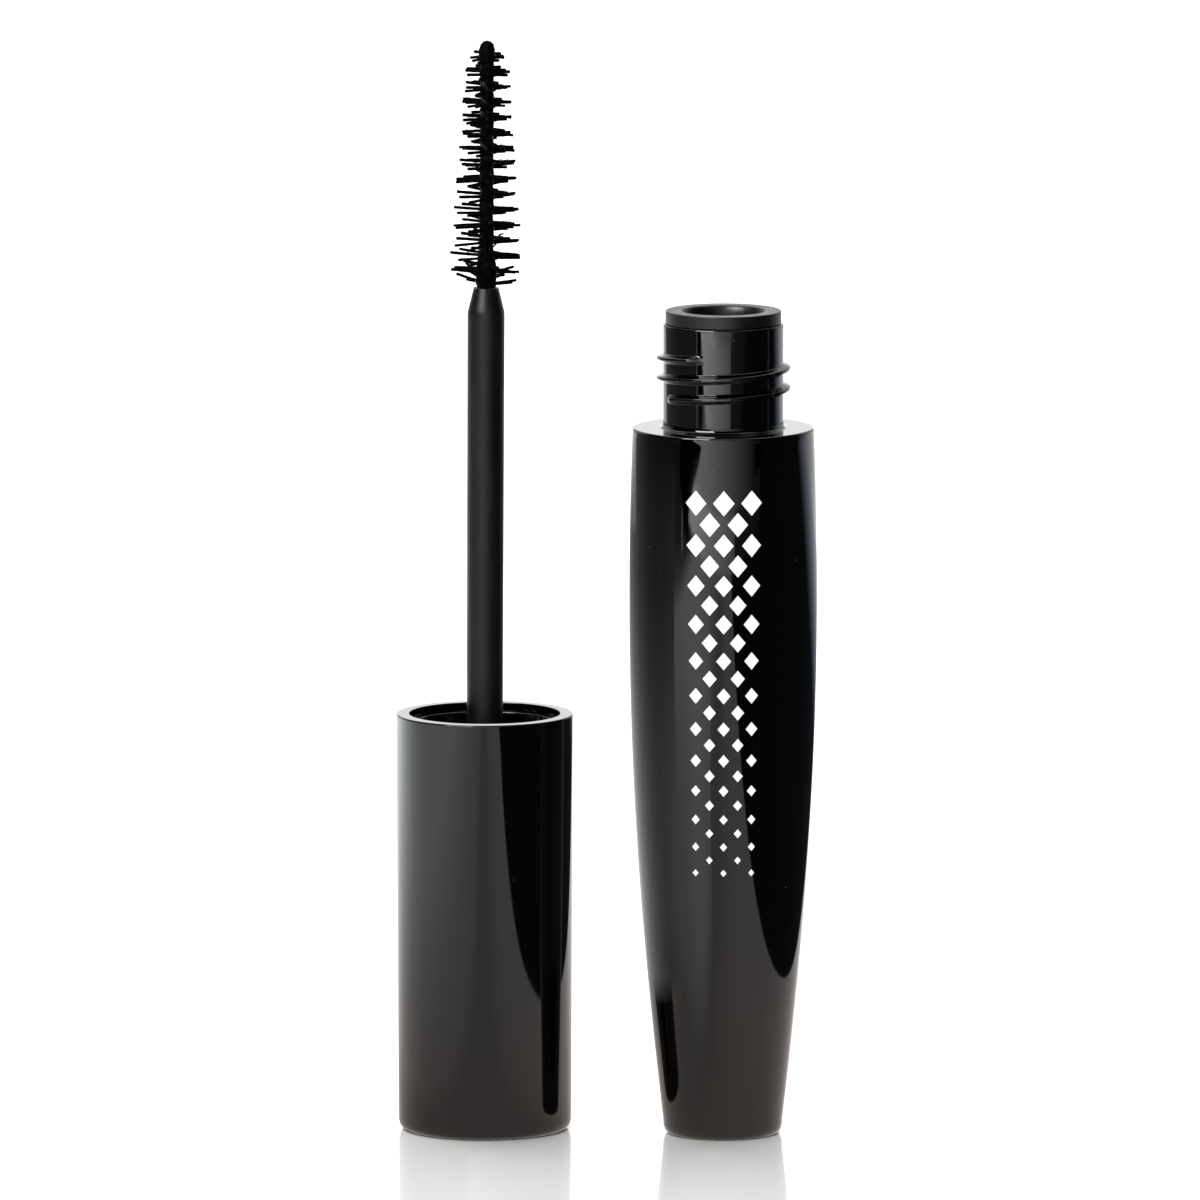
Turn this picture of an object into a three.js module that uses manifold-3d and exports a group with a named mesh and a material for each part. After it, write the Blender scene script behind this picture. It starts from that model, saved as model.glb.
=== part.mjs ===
// Mascara tube: an open vial with its wiper and paste, and beside it the unscrewed cap,
// standing on its closed end with the rod and the twisted-wire brush pointing up.
// Millimetres, +Z up. The origin is the centre of the vial's flat base.

import * as THREE from 'three';
import { mergeVertices } from 'three/addons/utils/BufferGeometryUtils.js';
import Module from 'manifold-3d';

const wasm = await Module();
wasm.setup();

// Driving dimensions: vial.
const BASE_RADIUS = 6.35;
const BASE_CORNER = 1.4;
const WIDEST_RADIUS = 10.0;
const WIDEST_HEIGHT = 58.0;
const SHOULDER_RADIUS = 9.66;
const SHOULDER_HEIGHT = 75.9;
const SHOULDER_EDGE = 0.25;
const VIAL_WALL = 1.3;
const VIAL_FLOOR = 1.6;
const NECK_RADIUS = 6.35;
const NECK_TOP = 87.0;
const NECK_FILLET = 0.5;
const NECK_BORE = 5.05;

// Driving dimensions: screw thread, shared by the neck and the inner cap.
const THREAD_PITCH = 2.12;
const THREAD_CREST_RADIUS = 7.07;
const THREAD_TURNS = 2.13;
const THREAD_START_HEIGHT = 79.27;
const THREAD_START_ANGLE = THREE.MathUtils.degToRad(202.5);
const THREAD_ROOT_WIDTH = 1.15;
const THREAD_CREST_WIDTH = 0.42;
const THREAD_EMBED = 0.3;
const THREAD_RUN_OUT = 0.03;

// Driving dimensions: wiper.
const WIPER_TOP = 88.4;
const WIPER_FLANGE_RADIUS = 6.16;
const WIPER_PLUG_RADIUS = 4.98;
const WIPER_MOUTH_RADIUS = 4.26;
const WIPER_THROAT_RADIUS = 3.6;
const WIPER_THROAT_HEIGHT = 81.5;
const WIPER_ORIFICE_RADIUS = 1.98;
const WIPER_BOTTOM = 76.4;
const WIPER_LIP = 0.55;
const SNAP_HEIGHT = 84.0;
const SNAP_HALF_WIDTH = 0.5;
const SNAP_RISE = 0.22;

// Driving dimensions: mascara paste, with the well that the brush leaves.
const PASTE_TOP = 60.0;
const PASTE_WELL_RADIUS = 4.2;
const PASTE_WELL_FLOOR = 3.4;

// Driving dimensions: cap and rod.
const WAND_X = -25.4;
const WAND_Y = 2.75;
const CAP_HEIGHT = 44.8;
const CAP_END_RADIUS = 9.2;
const CAP_RIM_RADIUS = 9.43;
const CAP_CORNER = 1.2;
const CAP_RIM_EDGE = 0.25;
const CAP_BORE = 8.05;
const CAP_LOWER_BORE = 7.6;
const CAP_LEDGE_HEIGHT = 29.5;
const CAP_FLOOR = 2.0;
const INNER_CAP_TOP = 43.9;
const INNER_CAP_RADIUS = 7.98;
const INNER_CAP_BORE = 7.28;
const INNER_WEB_TOP = 31.2;
const INNER_WEB_BOTTOM = 29.55;
const INNER_THREAD_CREST_RADIUS = 6.55;
const INNER_THREAD_TURNS = 2.0;
const INNER_THREAD_START_HEIGHT = 37.0;
const SLEEVE_RADIUS = 3.7;
const SLEEVE_BOTTOM = 21.8;
const WASHER_THICKNESS = 0.8;
const WASHER_RADIUS = 6.4;
const WASHER_HOLE_RADIUS = 2.5;
const ROD_RADIUS = 1.87;
const ROD_TIP_RADIUS = 1.94;
const ROD_NOSE_HEIGHT = 87.85;
const ROD_NOSE_RADIUS = 1.32;
const ROD_TOP = 90.5;
const ROD_NOSE_EDGE = 0.15;
const ROD_FOOT_RADIUS = 3.2;
const ROD_FOOT_THICKNESS = 1.1;
const ROD_BEAD_HEIGHT = 25.0;
const ROD_BEAD_RISE = 0.25;
const WIRE_HOLE_RADIUS = 0.8;
const WIRE_HOLE_BOTTOM = 84.2;

// Driving dimensions: brush.
const BRUSH_TOP = 117.0;
const STRAND_RADIUS = 0.28;
const STRAND_OFFSET = 0.45;
const TWIST_LEAD = 3.28;
const WIRE_BOTTOM = 84.4;
const BRISTLE_ROWS = 15;
const BRISTLES_PER_ROW = 4;
const BRISTLE_SPACING = 0.415;
const FIRST_BRISTLE_HEIGHT = 90.95;
const SIDEWAYS_BRISTLE_HEIGHT = 93.9;
const BRISTLE_RADIUS = 0.1;
const BRISTLE_CORE_RADIUS = 0.11;
const BRUSH_OUTLINE = [
  new THREE.Vector2(3.8, 90.9),
  new THREE.Vector2(3.86, 93.9),
  new THREE.Vector2(2.5, 113.6),
  new THREE.Vector2(1.7, 115.5),
];

// Clearances between pieces that sit against each other.
const SEAT_GAP = 0.05;
const FIT_GAP = 0.06;

// Facets.
const WIDE_SEGMENTS = 36;
const MEDIUM_SEGMENTS = 32;
const NARROW_SEGMENTS = 20;
const THREAD_STEPS_PER_TURN = 20;
const WIRE_STEPS_PER_TURN = 10;
const WIRE_SIDES = 6;
const BRISTLE_SIDES = 5;

const materials = {
  glossShell: new THREE.MeshStandardMaterial({ color: 0x0b0b0c, roughness: 0.08, metalness: 0 }),
  innerPlastic: new THREE.MeshStandardMaterial({ color: 0x0a0a0a, roughness: 0.2, metalness: 0 }),
  wiperPlastic: new THREE.MeshStandardMaterial({ color: 0x2a2a2b, roughness: 0.6, metalness: 0 }),
  satinRod: new THREE.MeshStandardMaterial({ color: 0x101011, roughness: 0.45, metalness: 0 }),
  wire: new THREE.MeshStandardMaterial({ color: 0x1a1a1a, roughness: 0.4, metalness: 0.8 }),
  bristle: new THREE.MeshStandardMaterial({ color: 0x080808, roughness: 0.6, metalness: 0 }),
  paste: new THREE.MeshStandardMaterial({ color: 0x050505, roughness: 0.35, metalness: 0 }),
  seal: new THREE.MeshStandardMaterial({ color: 0xd8d8d4, roughness: 0.7, metalness: 0 }),
};

// --- Geometry helpers ---

function point(radius, height) {
  return new THREE.Vector2(radius, height);
}

// Points on a circular arc in the (radius, height) plane, angles in degrees.
function arc(centreRadius, centreHeight, radius, from, to, steps) {
  const points = [];
  for (let i = 0; i <= steps; i += 1) {
    const angle = THREE.MathUtils.degToRad(from + ((to - from) * i) / steps);
    const across = centreRadius + radius * Math.cos(angle);
    const up = centreHeight + radius * Math.sin(angle);
    points.push(point(across, up));
  }
  return points;
}

// A solid of revolution about +Z. The outline runs up the outside and down the inside.
function revolve(outline, segments) {
  const geometry = new THREE.LatheGeometry(outline, segments);
  geometry.rotateX(Math.PI / 2);
  return geometry;
}

function solidOf(geometry) {
  const bare = geometry.clone();
  bare.deleteAttribute('normal');
  bare.deleteAttribute('uv');
  const merged = mergeVertices(bare);
  const index = merged.getIndex().array;
  const triangles = [];
  for (let i = 0; i < index.length; i += 3) {
    const [a, b, c] = index.slice(i, i + 3);
    if (a !== b && b !== c && c !== a) {
      triangles.push(a, b, c);
    }
  }
  const vertProperties = new Float32Array(merged.getAttribute('position').array);
  const triVerts = Uint32Array.from(triangles);
  return new wasm.Manifold(new wasm.Mesh({ numProp: 3, vertProperties, triVerts }));
}

function geometryOf(solid) {
  const mesh = solid.getMesh();
  const geometry = new THREE.BufferGeometry();
  geometry.setAttribute('position', new THREE.BufferAttribute(mesh.vertProperties, 3));
  geometry.setIndex(new THREE.BufferAttribute(mesh.triVerts, 1));
  geometry.computeVertexNormals();
  return geometry;
}

function named(name, geometry, material) {
  const mesh = new THREE.Mesh(geometry, material);
  mesh.name = name;
  return mesh;
}

// A right-handed thread rib. A straight bar of the rib's section is wound round the axis,
// and its crest sinks into the wall at both ends. The crest may lie outside or inside the wall.
function threadRib({ rootRadius, crestRadius, turns, startHeight, startAngle }) {
  const section = new THREE.Shape([
    point(0, -THREAD_ROOT_WIDTH / 2),
    point(1, -THREAD_CREST_WIDTH / 2),
    point(1, THREAD_CREST_WIDTH / 2),
    point(0, THREAD_ROOT_WIDTH / 2),
  ]);
  const steps = Math.round(turns * THREAD_STEPS_PER_TURN);
  const bar = new THREE.ExtrudeGeometry(section, { depth: 1, steps, bevelEnabled: false });
  const outwards = Math.sign(crestRadius - rootRadius);
  const footRadius = rootRadius - outwards * THREAD_EMBED;
  const sunkRadius = rootRadius - (outwards * THREAD_EMBED) / 2;
  const positions = bar.getAttribute('position');
  for (let i = 0; i < positions.count; i += 1) {
    const along = positions.getZ(i);
    const rise = Math.min(1, along / THREAD_RUN_OUT, (1 - along) / THREAD_RUN_OUT);
    const tipRadius = THREE.MathUtils.lerp(sunkRadius, crestRadius, rise);
    const radius = THREE.MathUtils.lerp(footRadius, tipRadius, positions.getX(i));
    const angle = startAngle + along * turns * 2 * Math.PI;
    const height = startHeight + along * turns * THREAD_PITCH - outwards * positions.getY(i);
    positions.setXYZ(i, radius * Math.cos(angle), radius * Math.sin(angle), height);
  }
  return bar;
}

// --- Vial, wiper and paste ---

// The barrel's outside from just above the base corner to just under the shoulder edge,
// moved inwards by the given wall thickness.
function barrelSide(inset, lowestHeight, highestHeight, steps) {
  const lower = new THREE.CubicBezierCurve(
    point(BASE_RADIUS, BASE_CORNER),
    point(BASE_RADIUS + 2.07, BASE_CORNER + 18),
    point(WIDEST_RADIUS, WIDEST_HEIGHT - 22),
    point(WIDEST_RADIUS, WIDEST_HEIGHT),
  );
  const upper = new THREE.QuadraticBezierCurve(
    point(WIDEST_RADIUS, WIDEST_HEIGHT),
    point(WIDEST_RADIUS, WIDEST_HEIGHT + 9),
    point(SHOULDER_RADIUS, SHOULDER_HEIGHT - SHOULDER_EDGE),
  );
  const upperSteps = Math.round(steps / 3);
  const side = [...lower.getPoints(steps), ...upper.getPoints(upperSteps).slice(1)];
  return side
    .filter((p) => p.y >= lowestHeight && p.y <= highestHeight)
    .map((p) => point(p.x - inset, p.y));
}

function vial() {
  const innerLow = VIAL_FLOOR + 2.5;
  const innerHigh = SHOULDER_HEIGHT - 3.5;
  const groove = SNAP_RISE + FIT_GAP;
  const outline = [
    point(0, 0),
    ...arc(BASE_RADIUS - BASE_CORNER, BASE_CORNER, BASE_CORNER, -90, 0, 4),
    ...barrelSide(0, 0, SHOULDER_HEIGHT, 9).slice(1),
    ...arc(SHOULDER_RADIUS - SHOULDER_EDGE, SHOULDER_HEIGHT - SHOULDER_EDGE, SHOULDER_EDGE, 45, 90, 1),
    ...arc(NECK_RADIUS + NECK_FILLET, SHOULDER_HEIGHT + NECK_FILLET, NECK_FILLET, -90, -180, 3),
    point(NECK_RADIUS, NECK_TOP - 0.15),
    point(NECK_RADIUS - 0.15, NECK_TOP),
    point(NECK_BORE, NECK_TOP),
    point(NECK_BORE, SNAP_HEIGHT + SNAP_HALF_WIDTH),
    point(NECK_BORE + groove, SNAP_HEIGHT),
    point(NECK_BORE, SNAP_HEIGHT - SNAP_HALF_WIDTH),
    point(NECK_BORE, SHOULDER_HEIGHT - 0.5),
    ...barrelSide(VIAL_WALL, innerLow, innerHigh, 6).reverse(),
    point(BASE_RADIUS - VIAL_WALL, VIAL_FLOOR + 0.8),
    point(BASE_RADIUS - VIAL_WALL - 0.8, VIAL_FLOOR),
    point(0, VIAL_FLOOR),
  ];
  const rib = threadRib({
    rootRadius: NECK_RADIUS,
    crestRadius: THREAD_CREST_RADIUS,
    turns: THREAD_TURNS,
    startHeight: THREAD_START_HEIGHT,
    startAngle: THREAD_START_ANGLE,
  });
  const solid = solidOf(revolve(outline, WIDE_SEGMENTS)).add(solidOf(rib));
  return named('vial', geometryOf(solid), materials.glossShell);
}

function wiper() {
  const flangeBottom = NECK_TOP + SEAT_GAP;
  const coneTop = WIPER_BOTTOM + 3.4;
  const outline = [
    point(WIPER_ORIFICE_RADIUS, WIPER_BOTTOM),
    point(WIPER_ORIFICE_RADIUS + WIPER_LIP, WIPER_BOTTOM),
    point(WIPER_PLUG_RADIUS, coneTop),
    point(WIPER_PLUG_RADIUS, SNAP_HEIGHT - SNAP_HALF_WIDTH),
    point(WIPER_PLUG_RADIUS + SNAP_RISE, SNAP_HEIGHT),
    point(WIPER_PLUG_RADIUS, SNAP_HEIGHT + SNAP_HALF_WIDTH),
    point(WIPER_PLUG_RADIUS, flangeBottom),
    point(WIPER_FLANGE_RADIUS, flangeBottom),
    point(WIPER_FLANGE_RADIUS, WIPER_TOP - 0.15),
    point(WIPER_FLANGE_RADIUS - 0.15, WIPER_TOP),
    point(WIPER_MOUTH_RADIUS + 0.2, WIPER_TOP),
    point(WIPER_MOUTH_RADIUS, WIPER_TOP - 0.2),
    point(WIPER_THROAT_RADIUS, WIPER_THROAT_HEIGHT),
    point(WIPER_ORIFICE_RADIUS, WIPER_BOTTOM),
  ];
  return named('wiper', revolve(outline, MEDIUM_SEGMENTS), materials.wiperPlastic);
}

function mascaraFill() {
  const inset = VIAL_WALL + FIT_GAP;
  const bottom = VIAL_FLOOR + SEAT_GAP;
  const side = barrelSide(inset, VIAL_FLOOR + 2.5, PASTE_TOP - 1, 6);
  const topRadius = side[side.length - 1].x;
  const outline = [
    point(0, bottom),
    point(BASE_RADIUS - inset - 0.85, bottom),
    point(BASE_RADIUS - inset - 0.05, VIAL_FLOOR + 0.85),
    ...side,
    point(topRadius, PASTE_TOP - 0.6),
    point((topRadius + PASTE_WELL_RADIUS) / 2, PASTE_TOP),
    point(PASTE_WELL_RADIUS, PASTE_TOP - 0.8),
    point(PASTE_WELL_RADIUS, PASTE_WELL_FLOOR),
    point(0, PASTE_WELL_FLOOR),
  ];
  return named('mascara_fill', revolve(outline, WIDE_SEGMENTS), materials.paste);
}

// --- Cap, rod and brush, in the wand's own frame: the closed end of the cap is at z = 0 ---

function capShell() {
  const outline = [
    point(0, 0),
    ...arc(CAP_END_RADIUS - CAP_CORNER, CAP_CORNER, CAP_CORNER, -90, 0, 4),
    ...arc(CAP_RIM_RADIUS - CAP_RIM_EDGE, CAP_HEIGHT - CAP_RIM_EDGE, CAP_RIM_EDGE, 0, 90, 2),
    point(CAP_BORE, CAP_HEIGHT),
    point(CAP_BORE, CAP_LEDGE_HEIGHT),
    point(CAP_LOWER_BORE, CAP_LEDGE_HEIGHT),
    point(CAP_LOWER_BORE, CAP_FLOOR + 1),
    point(CAP_LOWER_BORE - 1, CAP_FLOOR),
    point(0, CAP_FLOOR),
  ];
  return named('cap_shell', revolve(outline, WIDE_SEGMENTS), materials.glossShell);
}

function innerCap() {
  const hole = ROD_RADIUS + FIT_GAP;
  const groove = hole + ROD_BEAD_RISE;
  const outline = [
    point(hole, SLEEVE_BOTTOM),
    point(SLEEVE_RADIUS, SLEEVE_BOTTOM),
    point(SLEEVE_RADIUS, INNER_WEB_BOTTOM),
    point(INNER_CAP_RADIUS, INNER_WEB_BOTTOM),
    point(INNER_CAP_RADIUS, INNER_CAP_TOP),
    point(INNER_CAP_BORE + 0.2, INNER_CAP_TOP),
    point(INNER_CAP_BORE, INNER_CAP_TOP - 0.3),
    point(INNER_CAP_BORE, INNER_WEB_TOP),
    point(hole, INNER_WEB_TOP),
    point(hole, ROD_BEAD_HEIGHT + SNAP_HALF_WIDTH),
    point(groove, ROD_BEAD_HEIGHT),
    point(hole, ROD_BEAD_HEIGHT - SNAP_HALF_WIDTH),
    point(hole, SLEEVE_BOTTOM),
  ];
  const rib = threadRib({
    rootRadius: INNER_CAP_BORE,
    crestRadius: INNER_THREAD_CREST_RADIUS,
    turns: INNER_THREAD_TURNS,
    startHeight: INNER_THREAD_START_HEIGHT,
    startAngle: 0,
  });
  const solid = solidOf(revolve(outline, WIDE_SEGMENTS)).add(solidOf(rib));
  return named('inner_cap', geometryOf(solid), materials.innerPlastic);
}

function sealWasher() {
  const bottom = INNER_WEB_TOP + SEAT_GAP;
  const outline = [
    point(WASHER_HOLE_RADIUS, bottom),
    point(WASHER_RADIUS, bottom),
    point(WASHER_RADIUS, bottom + WASHER_THICKNESS),
    point(WASHER_HOLE_RADIUS, bottom + WASHER_THICKNESS),
    point(WASHER_HOLE_RADIUS, bottom),
  ];
  return named('seal_washer', revolve(outline, MEDIUM_SEGMENTS), materials.seal);
}

function rod() {
  const footTop = SLEEVE_BOTTOM - SEAT_GAP;
  const outline = [
    point(0, footTop - ROD_FOOT_THICKNESS),
    point(ROD_FOOT_RADIUS, footTop - ROD_FOOT_THICKNESS),
    point(ROD_FOOT_RADIUS, footTop),
    point(ROD_RADIUS, footTop),
    point(ROD_RADIUS, ROD_BEAD_HEIGHT - SNAP_HALF_WIDTH),
    point(ROD_RADIUS + ROD_BEAD_RISE, ROD_BEAD_HEIGHT),
    point(ROD_RADIUS, ROD_BEAD_HEIGHT + SNAP_HALF_WIDTH),
    point(ROD_TIP_RADIUS, ROD_NOSE_HEIGHT),
    point(ROD_NOSE_RADIUS, ROD_TOP - ROD_NOSE_EDGE),
    point(ROD_NOSE_RADIUS - ROD_NOSE_EDGE, ROD_TOP),
    point(WIRE_HOLE_RADIUS, ROD_TOP),
    point(WIRE_HOLE_RADIUS, WIRE_HOLE_BOTTOM),
    point(0, WIRE_HOLE_BOTTOM),
  ];
  return named('rod', revolve(outline, NARROW_SEGMENTS), materials.satinRod);
}

// Direction of the bristles at a height. The twist is left-handed.
function bristleAngle(height) {
  return (-2 * Math.PI * (height - SIDEWAYS_BRISTLE_HEIGHT)) / TWIST_LEAD;
}

// One wire, folded at the tip of the brush: up one strand, over the loop, down the other.
class FoldedWire extends THREE.Curve {
  constructor() {
    super();
    this.loopHeight = BRUSH_TOP - STRAND_RADIUS - STRAND_OFFSET;
    this.strandShare = 0.49;
    this.arcLengthDivisions = 2000;
  }

  getPoint(t, target = new THREE.Vector3()) {
    const along = Math.min(t, 1 - t) / this.strandShare;
    const side = t < 0.5 ? 1 : -1;
    if (along < 1) {
      const height = WIRE_BOTTOM + along * (this.loopHeight - WIRE_BOTTOM);
      const angle = bristleAngle(height) + (side * Math.PI) / 2;
      return target.set(STRAND_OFFSET * Math.cos(angle), STRAND_OFFSET * Math.sin(angle), height);
    }
    const turn = (Math.PI * (t - this.strandShare)) / (1 - 2 * this.strandShare);
    const across = STRAND_OFFSET * Math.cos(turn);
    const angle = bristleAngle(this.loopHeight) + Math.PI / 2;
    const height = this.loopHeight + STRAND_OFFSET * Math.sin(turn);
    return target.set(across * Math.cos(angle), across * Math.sin(angle), height);
  }
}

function brushWire() {
  const path = new FoldedWire();
  const section = new THREE.Shape();
  for (let i = 0; i < WIRE_SIDES; i += 1) {
    const angle = (2 * Math.PI * i) / WIRE_SIDES;
    const corner = point(STRAND_RADIUS * Math.cos(angle), STRAND_RADIUS * Math.sin(angle));
    if (i === 0) {
      section.moveTo(corner.x, corner.y);
    } else {
      section.lineTo(corner.x, corner.y);
    }
  }
  section.closePath();
  const turns = (2 * (path.loopHeight - WIRE_BOTTOM)) / TWIST_LEAD;
  const steps = Math.round(turns * WIRE_STEPS_PER_TURN);
  const settings = { steps, extrudePath: path, bevelEnabled: false };
  return named('brush_wire', new THREE.ExtrudeGeometry(section, settings), materials.wire);
}

// Distance from the axis to the bristle ends at a height.
function bristleReach(height) {
  const upper = BRUSH_OUTLINE.findIndex((p) => p.y >= height);
  const [below, above] = [BRUSH_OUTLINE[upper - 1], BRUSH_OUTLINE[upper]];
  return THREE.MathUtils.mapLinear(height, below.y, above.y, below.x, above.x);
}

// The bristles of half a turn. They cross between the two strands, joined there by a thin core.
function bristleRow(row) {
  const first = FIRST_BRISTLE_HEIGHT + row * BRISTLES_PER_ROW * BRISTLE_SPACING;
  const coreLength = (BRISTLES_PER_ROW - 1) * BRISTLE_SPACING;
  const core = new THREE.CylinderGeometry(
    BRISTLE_CORE_RADIUS,
    BRISTLE_CORE_RADIUS,
    coreLength,
    BRISTLE_SIDES,
  );
  core.rotateX(Math.PI / 2);
  core.translate(0, 0, first + coreLength / 2);
  let solid = solidOf(core);
  for (let i = 0; i < BRISTLES_PER_ROW; i += 1) {
    const height = first + i * BRISTLE_SPACING;
    const length = 2 * bristleReach(height);
    const bristle = new THREE.CylinderGeometry(BRISTLE_RADIUS, BRISTLE_RADIUS, length, BRISTLE_SIDES);
    bristle.rotateZ(bristleAngle(height) - Math.PI / 2);
    bristle.translate(0, 0, height);
    solid = solid.add(solidOf(bristle));
  }
  const number = String(row + 1).padStart(2, '0');
  return named(`bristle_row_${number}`, geometryOf(solid), materials.bristle);
}

// --- Assembly ---

const bottle = new THREE.Group();
bottle.add(vial(), wiper(), mascaraFill());

const wand = new THREE.Group();
wand.position.set(WAND_X, WAND_Y, 0);
wand.add(capShell(), innerCap(), sealWasher(), rod(), brushWire());
for (let row = 0; row < BRISTLE_ROWS; row += 1) {
  wand.add(bristleRow(row));
}

const mascaraTube = new THREE.Group();
mascaraTube.add(bottle, wand);

export default mascaraTube;
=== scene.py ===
"""Looks of the mascara tube: the open vial and, beside it, the cap with its rod and brush.

Lengths are in millimetres, and become metres where a mesh, lamp or material is made. An outline is
a list of (radius, height) pairs, or (radius, height, rounding) corners, about the vial's or the
wand's own upright axis.
"""

import math
import random

import bpy
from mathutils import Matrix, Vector, noise


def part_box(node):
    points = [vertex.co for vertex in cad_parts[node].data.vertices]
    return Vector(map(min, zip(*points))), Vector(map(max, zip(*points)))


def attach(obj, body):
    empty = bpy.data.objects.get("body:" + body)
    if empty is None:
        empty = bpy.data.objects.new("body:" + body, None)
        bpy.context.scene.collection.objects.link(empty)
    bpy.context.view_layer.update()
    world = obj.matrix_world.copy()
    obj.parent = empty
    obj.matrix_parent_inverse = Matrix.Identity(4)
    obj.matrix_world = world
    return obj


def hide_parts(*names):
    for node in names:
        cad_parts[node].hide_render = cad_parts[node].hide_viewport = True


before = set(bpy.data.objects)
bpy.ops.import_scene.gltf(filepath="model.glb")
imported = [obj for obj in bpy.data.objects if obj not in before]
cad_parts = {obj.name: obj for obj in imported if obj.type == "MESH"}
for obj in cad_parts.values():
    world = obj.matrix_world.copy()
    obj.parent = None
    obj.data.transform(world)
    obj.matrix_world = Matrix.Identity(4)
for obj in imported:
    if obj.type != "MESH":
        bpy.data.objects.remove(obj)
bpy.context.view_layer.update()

MM = 0.001
TURN = 2 * math.pi


def axis_of(node):
    """The upright axis through the middle of a CAD node, as a point on the floor."""
    low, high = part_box(node)
    return Vector(((low.x + high.x) / 2, (low.y + high.y) / 2, 0))


VIAL_AXIS = axis_of("vial")
WAND_AXIS = axis_of("rod")

# Vial and wiper.
BASE_RADIUS = 6.35
BASE_CORNER = 1.4
WIDEST_RADIUS = 10.0
WIDEST_HEIGHT = 58.0
SHOULDER_RADIUS = 9.66
SHOULDER_HEIGHT = 75.9
SHOULDER_EDGE = 0.24
VIAL_WALL = 1.3
NECK_RADIUS = 6.41
NECK_TOP = 87.0
NECK_FILLET = 0.55
NECK_BORE = 5.05
VIAL_FLOOR = 1.6
FOOT_RADIUS = 4.1
THREAD_PITCH = 2.12
THREAD_RISE = 0.72
THREAD_HALF_ROOT = 0.5
THREAD_HALF_CREST = 0.12
THREAD_RUN_OUT = 0.04
THREAD_TURNS = 2.13
THREAD_START_HEIGHT = 79.27
THREAD_START_ANGLE = math.radians(202.5)
THREAD_ROW = 0.045
PARTING_ANGLES = (math.radians(317), math.radians(137))
PARTING_HEIGHT = 0.035
FILL_TOP = 59.0
WIPER_TOP = 88.4
WIPER_BOTTOM = 76.4
WIPER_FLANGE = 6.16
WIPER_PLUG = 4.98
WIPER_THROAT = 3.6
WIPER_ORIFICE = 1.98
SNAP_HEIGHT = 84.0

# Cap and rod.
CAP_HEIGHT = 44.8
CAP_END_RADIUS = 9.2
CAP_RIM_RADIUS = 9.43
CAP_BORE = 8.05
CAP_LOWER_BORE = 7.6
CAP_LEDGE = 29.5
CAP_FLOOR = 2.0
LINER_RADIUS = 7.98
LINER_BORE = 7.28
LINER_TOP = 43.9
LINER_WEB_TOP = 31.2
LINER_WEB_BOTTOM = 29.55
SLEEVE_RADIUS = 3.7
SLEEVE_BORE = 1.93
SLEEVE_BOTTOM = 21.8
INNER_THREAD_RISE = 0.73
INNER_THREAD_START_HEIGHT = 37.0
INNER_THREAD_TURNS = 3.1
INNER_THREAD_GAPS = tuple(math.radians(d) for d in (24, 60, 123, 180, 240, 300))
SEAL_HOLE = 2.5
SEAL_RADIUS = 6.4
SEAL_TOP = 32.05
ROD_FOOT_RADIUS = 3.2
ROD_FOOT_TOP = 21.75
ROD_HELD_RADIUS = 1.87
ROD_FREE_RADIUS = 1.93
ROD_NOSE_RADIUS = 1.32
ROD_TOP = 90.5
BEAD_HEIGHT = 25.0
BEAD_HALF = 0.5
BEAD_RISE = 0.25

# Brush.
BRUSH_TOP = 117.0
TWIST_LEAD = 3.28
SIDEWAYS_HEIGHT = 93.9
STRAND_RADIUS = 0.28
STRAND_OFFSET = 0.45
WIRE_HOLE = 0.8
WIRE_BOTTOM = 84.4
BRISTLE_TOP = 116.3
CLUMPS_PER_SIDE = 6
WISP_COUNT = 5
WISP_RADIUS = 0.022
ROW_COUNT = 15
STRAY_ROW = 2
ROW_STEP = 1.66
FIRST_ROW_HEIGHT = 90.75
LEAN = 0.0045
LEAN_FROM = 45.0
BRUSH_OUTLINE = ((3.7, 90.6), (3.86, 93.9), (2.5, 113.6), (1.7, 115.6), (1.2, 116.6))

# Print.
PRINT_TOP = 69.0
PRINT_BOTTOM = 28.0
LOZENGE_SMALL = 0.35
LOZENGE_LARGE = 1.35
COLUMN_SPACING = 3.0
INK_UNDER = -0.03
INK_OVER = 0.018


# Studio.
STUDIO_SIDE = 3000
BETWEEN = (-12, 0, 0)
WARM_WITHIN = 25
NEUTRAL_BEYOND = 190
TIPPED_DOWN = math.radians(7.96)


# --- Mesh helpers ---


def smoothstep(value):
    """An S-curve from 0 to 1, flat beyond both ends."""
    value = min(1.0, max(0.0, value))
    return value * value * (3 - 2 * value)


def lerp(a, b, share):
    return a + (b - a) * share


class Shape:
    """Vertices in millimetres and faces, gathered before they become one mesh."""

    def __init__(self):
        self.vertices = []
        self.faces = []

    def add(self, points):
        first = len(self.vertices)
        self.vertices.extend(points)
        return list(range(first, len(self.vertices)))

    def bridge(self, lower, upper):
        """A band of faces between two rings."""
        count = len(lower)
        for i in range(count):
            j = (i + 1) % count
            self.faces.append((lower[i], lower[j], upper[j], upper[i]))

    def fan(self, ring, tip, upwards):
        """Close a ring to a point above it, or below it."""
        count = len(ring)
        for i in range(count):
            j = (i + 1) % count
            self.faces.append((ring[i], ring[j], tip) if upwards else (ring[j], ring[i], tip))

    def piece(self, name, axis, material, sharp_degrees=50):
        """Make the object, with edges steeper than that left sharp in the shading."""
        mesh = bpy.data.meshes.new(name)
        points = [axis + Vector(v) * MM for v in self.vertices]
        mesh.from_pydata([tuple(p) for p in points], [], self.faces)
        mesh.validate()
        mesh.update()
        mesh.shade_smooth()
        mesh.set_sharp_from_angle(angle=math.radians(sharp_degrees))
        mesh.materials.append(material)
        piece = bpy.data.objects.new(name, mesh)
        bpy.context.scene.collection.objects.link(piece)
        return piece


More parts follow.
